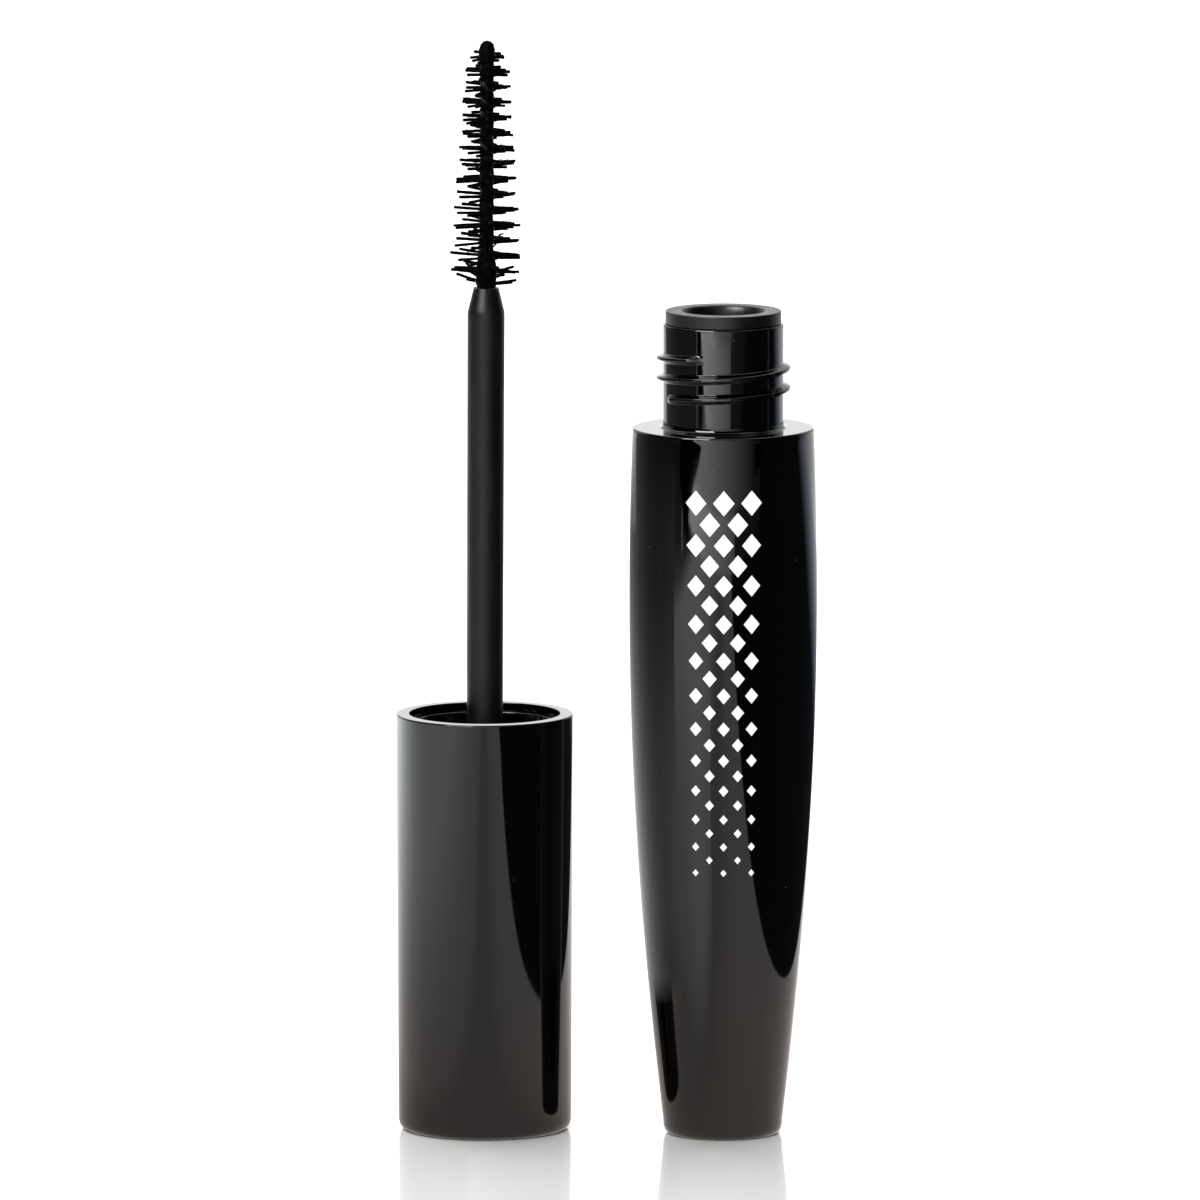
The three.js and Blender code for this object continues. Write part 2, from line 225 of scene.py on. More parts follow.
def rounded(corners, steps=6):
    """The outline through (radius, height, rounding) corners, each rounded over that length.
    A row just outside each rounding keeps the walls beside it flat in the shading."""
    points = []
    for i, corner in enumerate(corners):
        middle = Vector(corner[:2])
        size = corner[2] if len(corner) > 2 else 0
        if not size or i in (0, len(corners) - 1):
            points.append(tuple(middle))
            continue
        before = Vector(corners[i - 1][:2]) - middle
        after = Vector(corners[i + 1][:2]) - middle
        start = middle + before.normalized() * min(size, before.length * 0.4)
        end = middle + after.normalized() * min(size, after.length * 0.4)
        points.append(tuple(start.lerp(middle, -0.12)))
        for k in range(steps + 1):
            share = k / steps
            points.append(tuple(start.lerp(middle, share).lerp(middle.lerp(end, share), share)))
        points.append(tuple(end.lerp(middle, -0.12)))
    return points


def upright(radius, low, high, step):
    """Close rows up a straight wall, for relief such as a thread."""
    count = max(1, round(abs(high - low) / step))
    return [(radius, lerp(low, high, i / count)) for i in range(count + 1)]


def even_angles(count):
    return [TURN * i / count for i in range(count)]


def angles_with_parting(count):
    """Even steps round the axis, with a few close ones at each parting line."""
    close = [math.radians(d) for d in (-1.0, -0.5, -0.22, 0, 0.22, 0.5, 1.0)]
    extra = [(line + c) % TURN for line in PARTING_ANGLES for c in close]
    even = [a for a in even_angles(count) if all(abs(a - e) > 0.004 for e in extra)]
    return sorted(even + extra)


def lathe(outline, angles, relief=None):
    """A solid of revolution. relief(angle, radius, height) moves the surface outwards."""
    shape = Shape()
    rings = []
    for radius, height in outline:
        if radius < 1e-6:
            rings.append(shape.add([(0, 0, height)]))
            continue
        ring = []
        for angle in angles:
            reach = radius + (relief(angle, radius, height) if relief else 0)
            ring.append((reach * math.cos(angle), reach * math.sin(angle), height))
        rings.append(shape.add(ring))
    closed = outline[0][0] > 1e-6
    pairs = list(zip(rings, rings[1:])) + ([(rings[-1], rings[0])] if closed else [])
    for lower, upper in pairs:
        if len(lower) == 1 and len(upper) > 1:
            shape.fan(upper, lower[0], False)
        elif len(upper) == 1 and len(lower) > 1:
            shape.fan(lower, upper[0], True)
        elif len(upper) > 1:
            shape.bridge(lower, upper)
    return shape


def tube(shape, path, radii, sides):
    """A round bar along a path, closed at both ends, with a radius for each point."""
    direction = (path[1] - path[0]).normalized()
    side = direction.orthogonal().normalized()
    rings = []
    for i, centre in enumerate(path):
        ahead = path[min(i + 1, len(path) - 1)]
        behind = path[max(i - 1, 0)]
        turned = (ahead - behind).normalized()
        side = (direction.rotation_difference(turned) @ side).normalized()
        direction = turned
        other = direction.cross(side)
        ring = []
        for k in range(sides):
            angle = TURN * k / sides
            across = side * math.cos(angle) + other * math.sin(angle)
            ring.append(tuple(centre + across * radii[i]))
        rings.append(shape.add(ring))
    for lower, upper in zip(rings, rings[1:]):
        shape.bridge(lower, upper)
    shape.fan(rings[0], shape.add([tuple(path[0])])[0], False)
    shape.fan(rings[-1], shape.add([tuple(path[-1])])[0], True)


def place(piece, body, slot, *nodes):
    """Tie a piece to its CAD body, and hide the CAD nodes that it stands for. Its material slot is
    not used.
    """
    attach(piece, body)
    if nodes:
        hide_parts(*nodes)
    return piece


# --- Materials ---


class Material:
    """A Principled material, with short ways to add noise, bump and dust."""

    def __init__(self, name, colour, roughness, **settings):
        self.material = bpy.data.materials.new(name)
        self.material.use_nodes = True
        self.tree = self.material.node_tree
        self.shader = self.tree.nodes["Principled BSDF"]
        self.shader.inputs["Base Color"].default_value = (*colour, 1)
        self.shader.inputs["Roughness"].default_value = roughness
        for socket, value in settings.items():
            self.shader.inputs[socket.replace("_", " ")].default_value = value
        self.place = self.node("ShaderNodeTexCoord").outputs["Object"]

    def node(self, kind, **values):
        node = self.tree.nodes.new(kind)
        for name, value in values.items():
            setattr(node, name, value)
        return node

    def link(self, source, target):
        self.tree.links.new(source, target)

    def stretched(self, scale):
        """The place in the object, with each axis scaled, to draw a texture out along one."""
        mapping = self.node("ShaderNodeMapping")
        mapping.inputs["Scale"].default_value = scale
        self.link(self.place, mapping.inputs["Vector"])
        return mapping.outputs["Vector"]

    def noise(self, scale, detail=3, vector=None):
        texture = self.node("ShaderNodeTexNoise")
        texture.inputs["Scale"].default_value = scale
        texture.inputs["Detail"].default_value = detail
        self.link(vector or self.place, texture.inputs["Vector"])
        return texture.outputs["Fac"]

    def specks(self, scale, size):
        """One where a sparse small speck lies, and zero elsewhere."""
        texture = self.node("ShaderNodeTexVoronoi")
        texture.inputs["Scale"].default_value = scale
        self.link(self.place, texture.inputs["Vector"])
        near = self.ramp(texture.outputs["Distance"], size * 0.6, size, 1, 0)
        parts = self.node("ShaderNodeSeparateColor")
        self.link(texture.outputs["Color"], parts.inputs["Color"])
        chosen = self.ramp(parts.outputs["Red"], 0.9, 0.92, 0, 1)
        both = self.node("ShaderNodeMath", operation="MULTIPLY")
        self.link(near, both.inputs[0])
        self.link(chosen, both.inputs[1])
        return both.outputs["Value"]

    def ramp(self, source, low, high, from_value, to_value):
        """One value up to low, another from high on, and a smooth step between them."""
        node = self.node("ShaderNodeMapRange", interpolation_type="SMOOTHSTEP")
        node.inputs["From Min"].default_value = low
        node.inputs["From Max"].default_value = high
        node.inputs["To Min"].default_value = from_value
        node.inputs["To Max"].default_value = to_value
        self.link(source, node.inputs["Value"])
        return node.outputs["Result"]

    def colours(self, source, first, second):
        """Base colour between two colours, by a texture."""
        mix = self.node("ShaderNodeMix", data_type="RGBA")
        colour_inputs = [s for s in mix.inputs if s.type == "RGBA"]
        colour_inputs[0].default_value = (*first, 1)
        colour_inputs[1].default_value = (*second, 1)
        self.link(source, mix.inputs["Factor"])
        result = [s for s in mix.outputs if s.type == "RGBA"][0]
        self.link(result, self.shader.inputs["Base Color"])

    def roughness(self, source, low, high):
        """Roughness between two values, by a texture."""
        self.link(self.ramp(source, 0.3, 0.7, low, high), self.shader.inputs["Roughness"])

    def bump(self, source, height):
        """A texture's relief, that many millimetres high."""
        node = self.node("ShaderNodeBump")
        node.inputs["Distance"].default_value = height * MM
        node.inputs["Strength"].default_value = 1
        self.link(source, node.inputs["Height"])
        self.link(node.outputs["Normal"], self.shader.inputs["Normal"])


def gloss_material():
    made = Material("gloss_shell", (0.0004, 0.0004, 0.0004), 0.03, IOR=1.5)
    made.colours(made.specks(900, 0.05), (0.0004, 0.0004, 0.0004), (0.2, 0.2, 0.19))
    made.roughness(made.noise(260, 4), 0.02, 0.05)
    made.bump(made.noise(90, 2), 0.004)
    return made.material


def inner_material():
    made = Material("inner_plastic", (0.001, 0.001, 0.001), 0.12, IOR=1.5)
    made.colours(made.noise(500, 3), (0.0005, 0.0005, 0.0005), (0.002, 0.002, 0.002))
    made.roughness(made.noise(700, 4), 0.08, 0.2)
    made.bump(made.noise(400, 3), 0.01)
    return made.material


def wiper_material():
    made = Material("wiper_plastic", (0.003, 0.003, 0.0033), 0.38, IOR=1.47)
    made.colours(made.noise(900, 4), (0.0012, 0.0012, 0.0013), (0.0026, 0.0026, 0.0028))
    made.roughness(made.noise(1500, 5), 0.32, 0.42)
    made.bump(made.noise(4200, 4), 0.006)
    return made.material


def rod_material():
    made = Material("rod_plastic", (0.002, 0.002, 0.002), 0.4, IOR=1.37)
    made.colours(made.noise(350, 4), (0.0012, 0.0012, 0.0012), (0.003, 0.003, 0.003))
    made.roughness(made.noise(600, 5, made.stretched((1, 1, 0.25))), 0.34, 0.46)
    made.bump(made.noise(2600, 4), 0.005)
    return made.material


def wire_material():
    made = Material("wire", (0.004, 0.004, 0.004), 0.38, Metallic=0.8)
    made.colours(made.noise(1400, 4), (0.001, 0.001, 0.001), (0.006, 0.006, 0.006))
    made.roughness(made.noise(1800, 4), 0.3, 0.5)
    made.bump(made.noise(3500, 4), 0.02)
    return made.material


def bristle_material():
    made = Material("bristle", (0.0005, 0.0005, 0.0005), 0.8, Specular_IOR_Level=0.02)
    made.colours(made.noise(2500, 3), (0.0003, 0.0003, 0.0003), (0.001, 0.001, 0.001))
    made.roughness(made.noise(3000, 3), 0.7, 0.95)
    made.bump(made.noise(7000, 3), 0.02)
    return made.material


def paste_material():
    made = Material("paste", (0.0005, 0.0005, 0.0005), 0.55, Specular_IOR_Level=0.02)
    made.colours(made.noise(1200, 4), (0.0003, 0.0003, 0.0003), (0.001, 0.001, 0.001))
    made.roughness(made.noise(900, 4), 0.4, 0.75)
    made.bump(made.noise(2400, 5), 0.05)
    return made.material


def seal_material():
    made = Material("seal", (0.72, 0.72, 0.69), 0.75)
    made.colours(made.noise(3000, 5), (0.62, 0.62, 0.59), (0.78, 0.78, 0.75))
    made.roughness(made.noise(2500, 4), 0.65, 0.85)
    made.bump(made.noise(5200, 5), 0.04)
    return made.material


def print_material():
    made = Material("print", (0.9, 0.9, 0.9), 0.5)
    made.colours(made.noise(6000, 4), (0.86, 0.86, 0.86), (0.93, 0.93, 0.93))
    made.roughness(made.noise(4000, 4), 0.42, 0.6)
    made.bump(made.noise(9000, 3), 0.003)
    return made.material


GLOSS = gloss_material()
INNER = inner_material()
WIPER = wiper_material()
ROD = rod_material()
WIRE = wire_material()
BRISTLE = bristle_material()
PASTE = paste_material()
SEAL = seal_material()
PRINT = print_material()


# --- Thread relief ---


def turned_away(angle, lines):
    """The angle from a direction to the nearest of several others."""
    return min(abs((angle - line + math.pi) % TURN - math.pi) for line in lines)


def thread_relief(angle, height, start_angle, start_height, turns):
    """From 0 on the bare wall to 1 on the crest of a right-handed rib."""
    from_start = ((angle - start_angle) % TURN) / TURN
    highest = 0.0
    for lap in range(-1, math.ceil(turns) + 1):
        along = from_start + lap
        if along < -0.01 or along > turns + 0.01:
            continue
        away = abs(height - start_height - along * THREAD_PITCH)
        if away >= THREAD_HALF_ROOT:
            continue
        end_rise = min(along, turns - along) / THREAD_RUN_OUT
        rise = smoothstep((THREAD_HALF_ROOT - away) / (THREAD_HALF_ROOT - THREAD_HALF_CREST))
        highest = max(highest, rise * smoothstep(end_rise))
    return highest


def parting_relief(angle):
    """A fine raised line where the halves of the mould meet."""
    width = math.radians(0.45)
    return PARTING_HEIGHT * smoothstep(1 - turned_away(angle, PARTING_ANGLES) / width)


def neck_relief(angle, radius, height):
    """The thread and the mould's parting lines, outside the neck."""
    if radius < NECK_RADIUS - 0.01 or height < SHOULDER_HEIGHT + 0.2:
        return 0
    rib = thread_relief(angle, height, THREAD_START_ANGLE, THREAD_START_HEIGHT, THREAD_TURNS)
    return rib * THREAD_RISE + parting_relief(angle)


def liner_relief(angle, radius, height):
    """The interrupted thread, in the liner's bore."""
    if abs(radius - LINER_BORE) > 0.01 or not LINER_WEB_TOP + 0.3 <= height <= LINER_TOP - 0.18:
        return 0
    rib = thread_relief(angle, height, 0, INNER_THREAD_START_HEIGHT, INNER_THREAD_TURNS)
    past_gap = (turned_away(angle, INNER_THREAD_GAPS) - math.radians(3)) / math.radians(4)
    return -INNER_THREAD_RISE * rib * smoothstep(past_gap)


# --- Vial, wiper and paste ---


def bezier(points, share):
    """The point that far along a Bezier curve through its first and last points."""
    points = [Vector(p) for p in points]
    while len(points) > 1:
        points = [a.lerp(b, share) for a, b in zip(points, points[1:])]
    return tuple(points[0])


def barrel_side(inset, low, high):
    """The barrel from above its base corner to under its shoulder edge."""
    lower = (
        (BASE_RADIUS, BASE_CORNER),
        (BASE_RADIUS + 2.07, BASE_CORNER + 18),
        (WIDEST_RADIUS, WIDEST_HEIGHT - 22),
        (WIDEST_RADIUS, WIDEST_HEIGHT),
    )
    upper = (
        (WIDEST_RADIUS, WIDEST_HEIGHT),
        (WIDEST_RADIUS, WIDEST_HEIGHT + 9),
        (SHOULDER_RADIUS, SHOULDER_HEIGHT - SHOULDER_EDGE),
    )
    side = [bezier(lower, i / 60) for i in range(61)]
    side += [bezier(upper, i / 24) for i in range(1, 25)]
    return [(r - inset, z) for r, z in side if low <= z <= high]


def barrel_radius(height):
    """Outer radius of the barrel, between its base corner and its shoulder."""
    side = barrel_side(0, 0, SHOULDER_HEIGHT)
    for below, above in zip(side, side[1:]):
        if above[1] >= height:
            share = (height - below[1]) / (above[1] - below[1])
            return lerp(below[0], above[0], share)
    return side[-1][0]


def make_vial():
    """Outside from the recess in its foot up to its mouth, and back down the inside."""
    base = rounded([
        (0, 0.45),
        (FOOT_RADIUS - 0.5, 0.4, 0.3),
        (FOOT_RADIUS, 0, 0.25),
        (BASE_RADIUS, 0, BASE_CORNER),
        (BASE_RADIUS, BASE_CORNER * 3),
    ], 10)[:-1]
    shoulder = rounded([
        (SHOULDER_RADIUS, SHOULDER_HEIGHT - 2),
        (SHOULDER_RADIUS, SHOULDER_HEIGHT, SHOULDER_EDGE),
        (NECK_RADIUS, SHOULDER_HEIGHT, NECK_FILLET),
        (NECK_RADIUS, SHOULDER_HEIGHT + 2),
    ], 8)[1:-1]
    mouth = rounded([
        (NECK_RADIUS, NECK_TOP - 1),
        (NECK_RADIUS, NECK_TOP, 0.18),
        (NECK_BORE, NECK_TOP, 0.1),
        (NECK_BORE, SNAP_HEIGHT + 1),
        (NECK_BORE + 0.25, SNAP_HEIGHT, 0.3),
        (NECK_BORE, SNAP_HEIGHT - 1),
        (NECK_BORE, SHOULDER_HEIGHT - 0.5),
    ], 4)[1:]
    inside = [
        *reversed(barrel_side(VIAL_WALL, 4.1, 72.4)),
        (BASE_RADIUS - VIAL_WALL, VIAL_FLOOR + 0.8),
        (BASE_RADIUS - VIAL_WALL - 0.8, VIAL_FLOOR),
        (0, VIAL_FLOOR),
    ]
    rib_low = THREAD_START_HEIGHT - THREAD_HALF_ROOT
    rib_high = THREAD_START_HEIGHT + THREAD_TURNS * THREAD_PITCH + THREAD_HALF_ROOT
    neck = [
        *upright(NECK_RADIUS, SHOULDER_HEIGHT + NECK_FILLET + 0.05, rib_low - 0.1, 0.5),
        *upright(NECK_RADIUS, rib_low, rib_high, THREAD_ROW),
        *upright(NECK_RADIUS, rib_high + 0.1, NECK_TOP - 0.25, 0.5),
    ]
    side = barrel_side(0, BASE_CORNER + 0.01, SHOULDER_HEIGHT - SHOULDER_EDGE - 0.01)
    outline = [*base, *side, *shoulder, *neck, *mouth, *inside]
    shape = lathe(outline, angles_with_parting(240), neck_relief)
    vial = shape.piece("vial_body", VIAL_AXIS, GLOSS, 85)
    place(vial, "bottle", "gloss_shell", "vial")


def make_wiper():
    """Flange on the neck, funnel, and plug down to the orifice that scrapes the brush."""
    outline = rounded([
        (WIPER_ORIFICE, WIPER_BOTTOM),
        (WIPER_ORIFICE + 0.55, WIPER_BOTTOM, 0.15),
        (WIPER_PLUG, WIPER_BOTTOM + 3.4, 0.4),
        (WIPER_PLUG, SNAP_HEIGHT - 0.5, 0.2),
        (WIPER_PLUG + 0.22, SNAP_HEIGHT, 0.2),
        (WIPER_PLUG, SNAP_HEIGHT + 0.5, 0.2),
        (WIPER_PLUG, NECK_TOP + 0.05),
        (WIPER_FLANGE, NECK_TOP + 0.05, 0.08),
        (WIPER_FLANGE, WIPER_TOP, 0.13),
        (WIPER_THROAT + 0.8, WIPER_TOP, 0.25),
        (WIPER_THROAT + 0.6, WIPER_TOP - 0.5, 0.3),
        (WIPER_THROAT, 81.5, 1.2),
        (WIPER_ORIFICE, WIPER_BOTTOM),
    ], 6)[:-1]
    shape = lathe(outline, even_angles(160))
    place(shape.piece("neck_wiper", VIAL_AXIS, WIPER), "bottle", "wiper_plastic", "wiper")


def make_fill():
    """The paste in the vial, with the well that the brush leaves in it."""
    def ripples(angle, radius, height):
        spot = Vector((math.cos(angle), math.sin(angle), height * 0.2)) * 2
        return 0.12 * noise.noise(spot) - 0.12 if radius < 5.5 or height > 56 else 0

    foot = [(0, VIAL_FLOOR + 0.1), (4.1, VIAL_FLOOR + 0.1), (4.9, VIAL_FLOOR + 0.9)]
    side = barrel_side(VIAL_WALL + 0.08, 4.1, FILL_TOP)
    top = [(8.3, FILL_TOP + 0.5), (6.5, FILL_TOP + 1.0), (4.5, FILL_TOP + 0.4)]
    well = [*upright(4.25, FILL_TOP - 0.2, 4.2, 1.2), (3.9, 3.5), (0, 3.4)]
    shape = lathe([*foot, *side, *top, *well], even_angles(96), ripples)
    place(shape.piece("mascara_paste", VIAL_AXIS, PASTE), "bottle", "paste", "mascara_fill")


# --- Cap, liner, seal and rod ---


def make_cap():
    """The shell, from its closed end up to the rim, and back down its bore."""
    outline = rounded([
        (0, 0.35),
        (5.6, 0.3, 0.4),
        (6.2, 0, 0.35),
        (CAP_END_RADIUS, 0, 1.2),
        (CAP_END_RADIUS + 0.02, 4),
        (CAP_RIM_RADIUS, CAP_HEIGHT - 2),
        (CAP_RIM_RADIUS, CAP_HEIGHT, 0.15),
        (CAP_BORE, CAP_HEIGHT, 0.1),
        (CAP_BORE, CAP_LEDGE),
        (CAP_LOWER_BORE, CAP_LEDGE),
        (CAP_LOWER_BORE, CAP_FLOOR + 1, 0.3),
        (CAP_LOWER_BORE - 1, CAP_FLOOR, 0.3),
        (0, CAP_FLOOR),
    ], 8)
    shape = lathe(outline, even_angles(240))
    place(shape.piece("cap_outer_shell", WAND_AXIS, GLOSS), "wand", "gloss_shell", "cap_shell")


def make_liner():
    """The threaded bore above its web, and below it the sleeve, grooved for the rod's bead."""
    outside = rounded([
        (SLEEVE_BORE, SLEEVE_BOTTOM),
        (SLEEVE_RADIUS, SLEEVE_BOTTOM, 0.2),
        (SLEEVE_RADIUS, LINER_WEB_BOTTOM, 0.3),
        (LINER_RADIUS, LINER_WEB_BOTTOM, 0.15),
        (LINER_RADIUS, LINER_TOP, 0.12),
        (LINER_BORE, LINER_TOP, 0.15),
        (LINER_BORE, LINER_TOP - 0.4),
    ], 5)
    outline = [
        *outside,
        *upright(LINER_BORE, LINER_TOP - 0.45, LINER_WEB_TOP + 0.4, 0.08),
        (LINER_BORE, LINER_WEB_TOP),
        (SLEEVE_BORE, LINER_WEB_TOP),
        (SLEEVE_BORE, BEAD_HEIGHT + BEAD_HALF),
        (SLEEVE_BORE + BEAD_RISE, BEAD_HEIGHT),
        (SLEEVE_BORE, BEAD_HEIGHT - BEAD_HALF),
    ]
    shape = lathe(outline, even_angles(200), liner_relief)
    place(shape.piece("cap_liner", WAND_AXIS, INNER), "wand", "inner_plastic", "inner_cap")


def make_seal():
    """A foam ring on the liner's web, pressed a little hollow by the wiper's flange."""
    outline = rounded([
        (SEAL_HOLE, LINER_WEB_TOP + 0.3),
        (SEAL_HOLE, LINER_WEB_TOP + 0.05, 0.12),
        (SEAL_RADIUS, LINER_WEB_TOP + 0.05, 0.12),
        (SEAL_RADIUS, SEAL_TOP, 0.12),
        (SEAL_RADIUS - 0.5, SEAL_TOP, 0.1),
        (SEAL_RADIUS - 0.9, SEAL_TOP - 0.12, 0.3),
        (SEAL_HOLE + 0.9, SEAL_TOP - 0.1, 0.3),
        (SEAL_HOLE, SEAL_TOP, 0.12),
        (SEAL_HOLE, SEAL_TOP - 0.45),
    ], 5)
    shape = lathe(outline, even_angles(128))
    place(shape.piece("foam_seal", WAND_AXIS, SEAL), "seal", "seal", "seal_washer")


def make_rod():
    """Its foot and snap bead in the sleeve, the free length, and the nose bored for the wire."""
    outline = rounded([
        (0, ROD_FOOT_TOP - 1.1),
        (ROD_FOOT_RADIUS, ROD_FOOT_TOP - 1.1, 0.15),
        (ROD_FOOT_RADIUS, ROD_FOOT_TOP, 0.15),
        (ROD_HELD_RADIUS, ROD_FOOT_TOP),
        (ROD_HELD_RADIUS, BEAD_HEIGHT - BEAD_HALF),
        (ROD_HELD_RADIUS + BEAD_RISE, BEAD_HEIGHT, 0.2),
        (ROD_HELD_RADIUS, BEAD_HEIGHT + BEAD_HALF),
        (ROD_HELD_RADIUS, 33.0),
        (ROD_FREE_RADIUS, 36.0),
        (ROD_FREE_RADIUS + 0.01, 52.0),
        (ROD_FREE_RADIUS + 0.02, 60.0),
        (ROD_FREE_RADIUS + 0.03, 72.0),
        (ROD_FREE_RADIUS + 0.04, ROD_TOP - 2.65, 0.35),
        (ROD_NOSE_RADIUS, ROD_TOP, 0.15),
        (WIRE_HOLE, ROD_TOP, 0.1),
        (WIRE_HOLE, WIRE_BOTTOM - 0.2),
        (0, WIRE_BOTTOM - 0.2),
    ], 8)
    shape = leaning(lathe(outline, even_angles(96)))
    rod = place(shape.piece("applicator_rod", WAND_AXIS, ROD), "wand", "rod_plastic", "rod")
    rod.visible_glossy = False


# --- Brush ---


def twist_angle(height):
    """Direction of the bristles at a height. The twist is left-handed."""
    return -TURN * (height - SIDEWAYS_HEIGHT) / TWIST_LEAD


def around(radius, angle, height):
    """A point that far from the axis, in that direction."""
    return Vector((radius * math.cos(angle), radius * math.sin(angle), height))


def leaning(shape):
    """The stem stands a little off upright in the cap, as a pressed-in rod does."""
    for i, (x, y, z) in enumerate(shape.vertices):
        shape.vertices[i] = (x + LEAN * max(0, z - LEAN_FROM), y, z)
    return shape


def wire_path():
    """Up one strand, over the loop at the tip, and down the other."""
    loop_height = BRUSH_TOP - 0.15 - STRAND_RADIUS - STRAND_OFFSET
    steps = 260
    rising = []
    for i in range(steps + 1):
        height = lerp(WIRE_BOTTOM, loop_height, i / steps)
        rising.append((height, twist_angle(height) + math.pi / 2))
    path = [around(STRAND_OFFSET, angle, height) for height, angle in rising]
    top_angle = rising[-1][1]
    loop_steps = 12
    for i in range(1, loop_steps):
        turn = math.pi * i / loop_steps
        height = loop_height + STRAND_OFFSET * math.sin(turn)
        path.append(around(STRAND_OFFSET * math.cos(turn), top_angle, height))
    path += [around(STRAND_OFFSET, angle + math.pi, height) for height, angle in reversed(rising)]
    return path


def make_wire():
    path = wire_path()
    radii = [STRAND_RADIUS * (1 + 0.05 * noise.noise(p * 1.7)) for p in path]
    shape = Shape()
    tube(shape, path, radii, 12)
    place(leaning(shape).piece("twisted_wire", WAND_AXIS, WIRE), "wand", "wire", "brush_wire")


def reach_at(height):
    """How far the bristles reach from the wire at a height."""
    for (low_reach, low), (high_reach, high) in zip(BRUSH_OUTLINE, BRUSH_OUTLINE[1:]):
        if height <= high:
            return lerp(low_reach, high_reach, max(0, (height - low) / (high - low)))
    return BRUSH_OUTLINE[-1][0]


def add_bristle(shape, chance, height, angle, reach, thickness, tilt, bend):
    """One bristle, or a few stuck together, from between the strands to its cut end."""
    points = []
    radii = []
    root = 0.15
    steps = 7
    for i in range(steps + 1):
        share = i / steps
        out = root + (reach - root) * share
        rise = math.tan(tilt) * out + bend * share * share
        swing = angle + chance.uniform(-0.006, 0.006)
        points.append(around(out, swing, height + rise))
        radii.append(thickness * chance.uniform(0.94, 1.06) * (1.12 if i == 0 else 1))
    tube(shape, points, radii, 7)


def splay(height):
    """The lowest bristles are pushed up and down by the nose of the rod."""
    return smoothstep((92.9 - height) / 1.8)


def add_half_turn(shape, chance, first, last):
    """The bristles of half a turn, each side of the wire drawn on its own."""
    for k in range(CLUMPS_PER_SIDE):
        for side in (0, math.pi):
            even_height = lerp(first, last, (k + 0.5) / CLUMPS_PER_SIDE)
            height = even_height + chance.uniform(-0.07, 0.07)
            if height > BRISTLE_TOP:
                continue
            angle = twist_angle(height) + side + chance.uniform(-0.1, 0.1)
            reach = reach_at(height) * chance.choice((1.0, 0.99, 0.97, 0.93, 0.86))
            tilt = math.radians(chance.uniform(-4, 4)) + splay(height) * chance.uniform(-0.12, 0.42)
            bend = chance.uniform(-0.12, 0.12)
            thickness = chance.uniform(0.15, 0.185)
            add_bristle(shape, chance, height, angle, reach, thickness, tilt, bend)
            if chance.random() < 0.45:
                add_bristle(
                    shape, chance, height + chance.uniform(-0.12, 0.12), angle + 0.08,
                    reach * chance.uniform(0.6, 0.92), thickness * 0.85, tilt * 0.6, bend,
                )


def add_wisps(shape, chance, first, last):
    """Single fine fibres that stand clear of the clumps."""
    for _ in range(WISP_COUNT):
        height = chance.uniform(first, last)
        angle = twist_angle(height) + chance.choice((0, math.pi)) + chance.uniform(-0.7, 0.7)
        reach = reach_at(height) * chance.uniform(0.75, 1.0)
        tilt = chance.uniform(-0.3, 0.3)
        add_bristle(shape, chance, height, angle, reach, WISP_RADIUS, tilt, 0.1)


def add_stray(shape):
    """One bent bristle that has sprung out in front, to the right."""
    points = [
        (0.45, -1.0, 94.9), (0.8, -1.7, 95.1), (1.1, -2.0, 95.5),
        (1.2, -2.1, 96.0), (1.45, -2.15, 96.4), (1.85, -2.1, 96.55),
    ]
    tube(shape, [Vector(point) for point in points], [0.09] * len(points), 7)


def make_bristles():
    """One piece for each bristle row of the CAD."""
    chance = random.Random(41)
    for row in range(ROW_COUNT):
        first = FIRST_ROW_HEIGHT + row * ROW_STEP
        shape = Shape()
        add_half_turn(shape, chance, first, first + ROW_STEP)
        add_wisps(shape, chance, first, min(116.0, first + ROW_STEP))
        if row == STRAY_ROW:
            add_stray(shape)
        number = f"{row + 1:02d}"
        piece = leaning(shape).piece(f"bristles_{number}", WAND_AXIS, BRISTLE)
        place(piece, "wand", "bristle", f"bristle_row_{number}").visible_glossy = False


def make_brush_paste():
    """Paste that fills the twist, thick at the rod and round the tip."""
    def lumps(angle, radius, height):
        spot = Vector((math.cos(angle) * 0.8, math.sin(angle) * 0.8, height * 0.9))
        fine = Vector((math.cos(angle) * 1.5, math.sin(angle) * 1.5, height * 2.6))
        return radius * (0.14 * noise.noise(spot) + 0.09 * noise.noise(fine))

    heights = [
        (0.95, 90.4), (1.1, 90.9), (1.18, 91.8), (1.12, 92.7), (0.95, 93.4), (0.77, 94.2),
        (0.75, 100.0), (0.72, 106.0), (0.7, 112.0), (0.76, 114.4), (0.84, 115.3),
        (0.84, 115.9), (0.68, 116.5), (0.38, 116.8),
    ]
    outline = [(0, 90.2)]
    for (low_radius, low), (high_radius, high) in zip(heights, heights[1:]):
        count = max(1, round((high - low) / 0.12))
        for i in range(count):
            share = i / count
            outline.append((lerp(low_radius, high_radius, share), lerp(low, high, share)))
    outline += [heights[-1], (0, 116.9)]
    shape = leaning(lathe(outline, even_angles(40), lumps))
    place(shape.piece("brush_paste", WAND_AXIS, PASTE), "wand", "paste")


# --- Print on the barrel ---


def on_barrel(across, height, lift):
    """A point above the barrel's front, that far across it as the barrel curves."""
    radius = barrel_radius(height) + lift
    angle = across / barrel_radius(height) - math.pi / 2
    return around(radius, angle, height)


